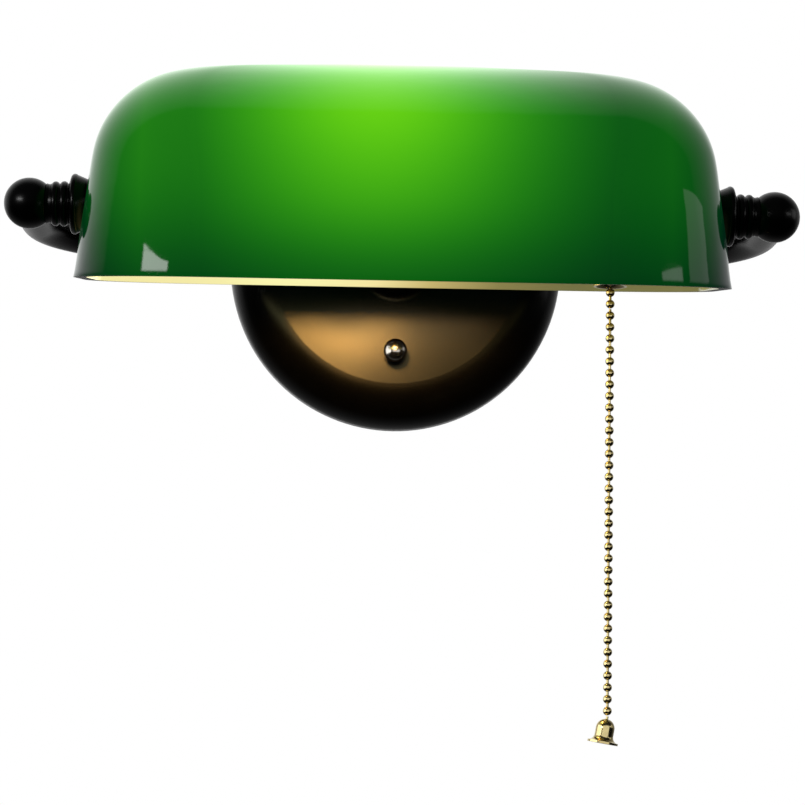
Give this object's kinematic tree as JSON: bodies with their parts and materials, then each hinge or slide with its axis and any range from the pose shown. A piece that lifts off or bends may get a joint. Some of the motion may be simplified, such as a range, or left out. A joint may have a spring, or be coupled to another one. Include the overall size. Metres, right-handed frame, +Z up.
{
  "type": "banker wall lamp",
  "caption": "Wall lamp with a tilting arched green glass shade on a bent tube yoke, a round wall plate and a pull chain switch.",
  "frame": {"origin": "centre of the wall plate's back face, in the wall plane", "axes": "+X to the right for a person who faces the wall, +Y into the wall, +Z up"},
  "size_m": [0.2718, 0.1864, 0.2437],
  "materials": {
    "black_metal": "satin black lacquer over spun and turned brass",
    "green_glass": "cased glass, glossy green outside and opal white inside",
    "brass": "polished brass",
    "steel": "zinc plated steel",
    "bulb_glass": "frosted bulb glass",
    "nickel": "nickel plated",
    "phenolic": "moulded phenolic",
    "insulating_paper": "pressed insulating paper",
    "gasket_felt": "felt gasket",
    "wire_jacket": "lamp wire jacket",
    "wire_nut_plastic": "orange moulded cap"
  },
  "bodies": {
    "wall_bracket": {"wall_plate": "black_metal", "mounting_bracket": "steel", "canopy_studs": "brass", "cap_nuts": "black_metal", "cap_nut_washers": "black_metal", "ground_screw": "steel", "stem_tube": "black_metal", "stem_nipple": "steel", "stem_lock_washer": "steel", "stem_locknut": "steel", "stem_rosette": "black_metal", "yoke_hub": "black_metal", "yoke_arm_right": "black_metal", "yoke_arm_left": "black_metal", "ball_knuckle_right": "black_metal", "ball_knuckle_left": "black_metal", "supply_wire": "wire_jacket", "wire_nuts": "wire_nut_plastic"},
    "shade_assembly": {"collar_right": "black_metal", "collar_left": "black_metal", "pivot_nipple_right": "steel", "pivot_nipple_left": "steel", "seat_washers": "black_metal", "gaskets": "gasket_felt", "glass_locknuts": "brass", "glass_shade": "green_glass", "socket_shell": "brass", "socket_liner": "insulating_paper", "socket_cap": "brass", "switch_housing": "phenolic", "screw_shell": "brass", "centre_contact": "brass", "terminal_screws": "brass", "lever_pin": "steel", "chain_guide": "brass", "socket_leads": "wire_jacket"},
    "bulb": {"bulb_glass": "bulb_glass", "bulb_cap": "nickel", "bulb_filament": "bulb_glass"},
    "switch_lever": {"switch_lever": "brass"},
    "chain_head": {"chain_head": "brass"},
    "chain_neck": {"chain_neck": "brass"},
    "chain_strand": {"chain_strand": "brass"},
    "pull_bell": {"pull_bell": "brass"}
  },
  "joints": [
    {"name": "shade_swivel", "type": "hinge", "parent": "wall_bracket", "child": "shade_assembly", "pos_m": [0, -0.125, 0], "axis": [1, 0, 0], "range_deg": [-45, 30]},
    {"name": "bulb_withdraw", "type": "slide", "parent": "shade_assembly", "child": "bulb", "axis": [-1, 0, 0], "range_m": [0, 0.026]},
    {"name": "chain_pull", "type": "slide", "parent": "shade_assembly", "child": "chain_head", "axis": [0, 0, -1], "range_m": [0, 0.006], "stiffness_N_per_m": 600, "springref_m": -0.004},
    {"name": "lever_swing", "type": "hinge", "parent": "shade_assembly", "child": "switch_lever", "pos_m": [0.0795, -0.125, -0.007], "axis": [0, -1, 0], "range_deg": [0, 42]},
    {"name": "chain_swing_fore", "type": "hinge", "parent": "chain_head", "child": "chain_neck", "pos_m": [0.0711, -0.125, -0.02513], "axis": [-1, 0, 0], "range_deg": [-45, 45]},
    {"name": "chain_swing_side", "type": "hinge", "parent": "chain_neck", "child": "chain_strand", "pos_m": [0.0711, -0.125, -0.03301], "axis": [0, 1, 0], "range_deg": [-40, 40]},
    {"name": "bell_swing", "type": "hinge", "parent": "chain_strand", "child": "pull_bell", "pos_m": [0.0711, -0.125, -0.17091], "axis": [0, 1, 0], "range_deg": [-60, 60]}
  ],
  "couplings": [
    {"joint": "lever_swing", "follows": "chain_pull", "rad_per_m": 119}
  ]
}
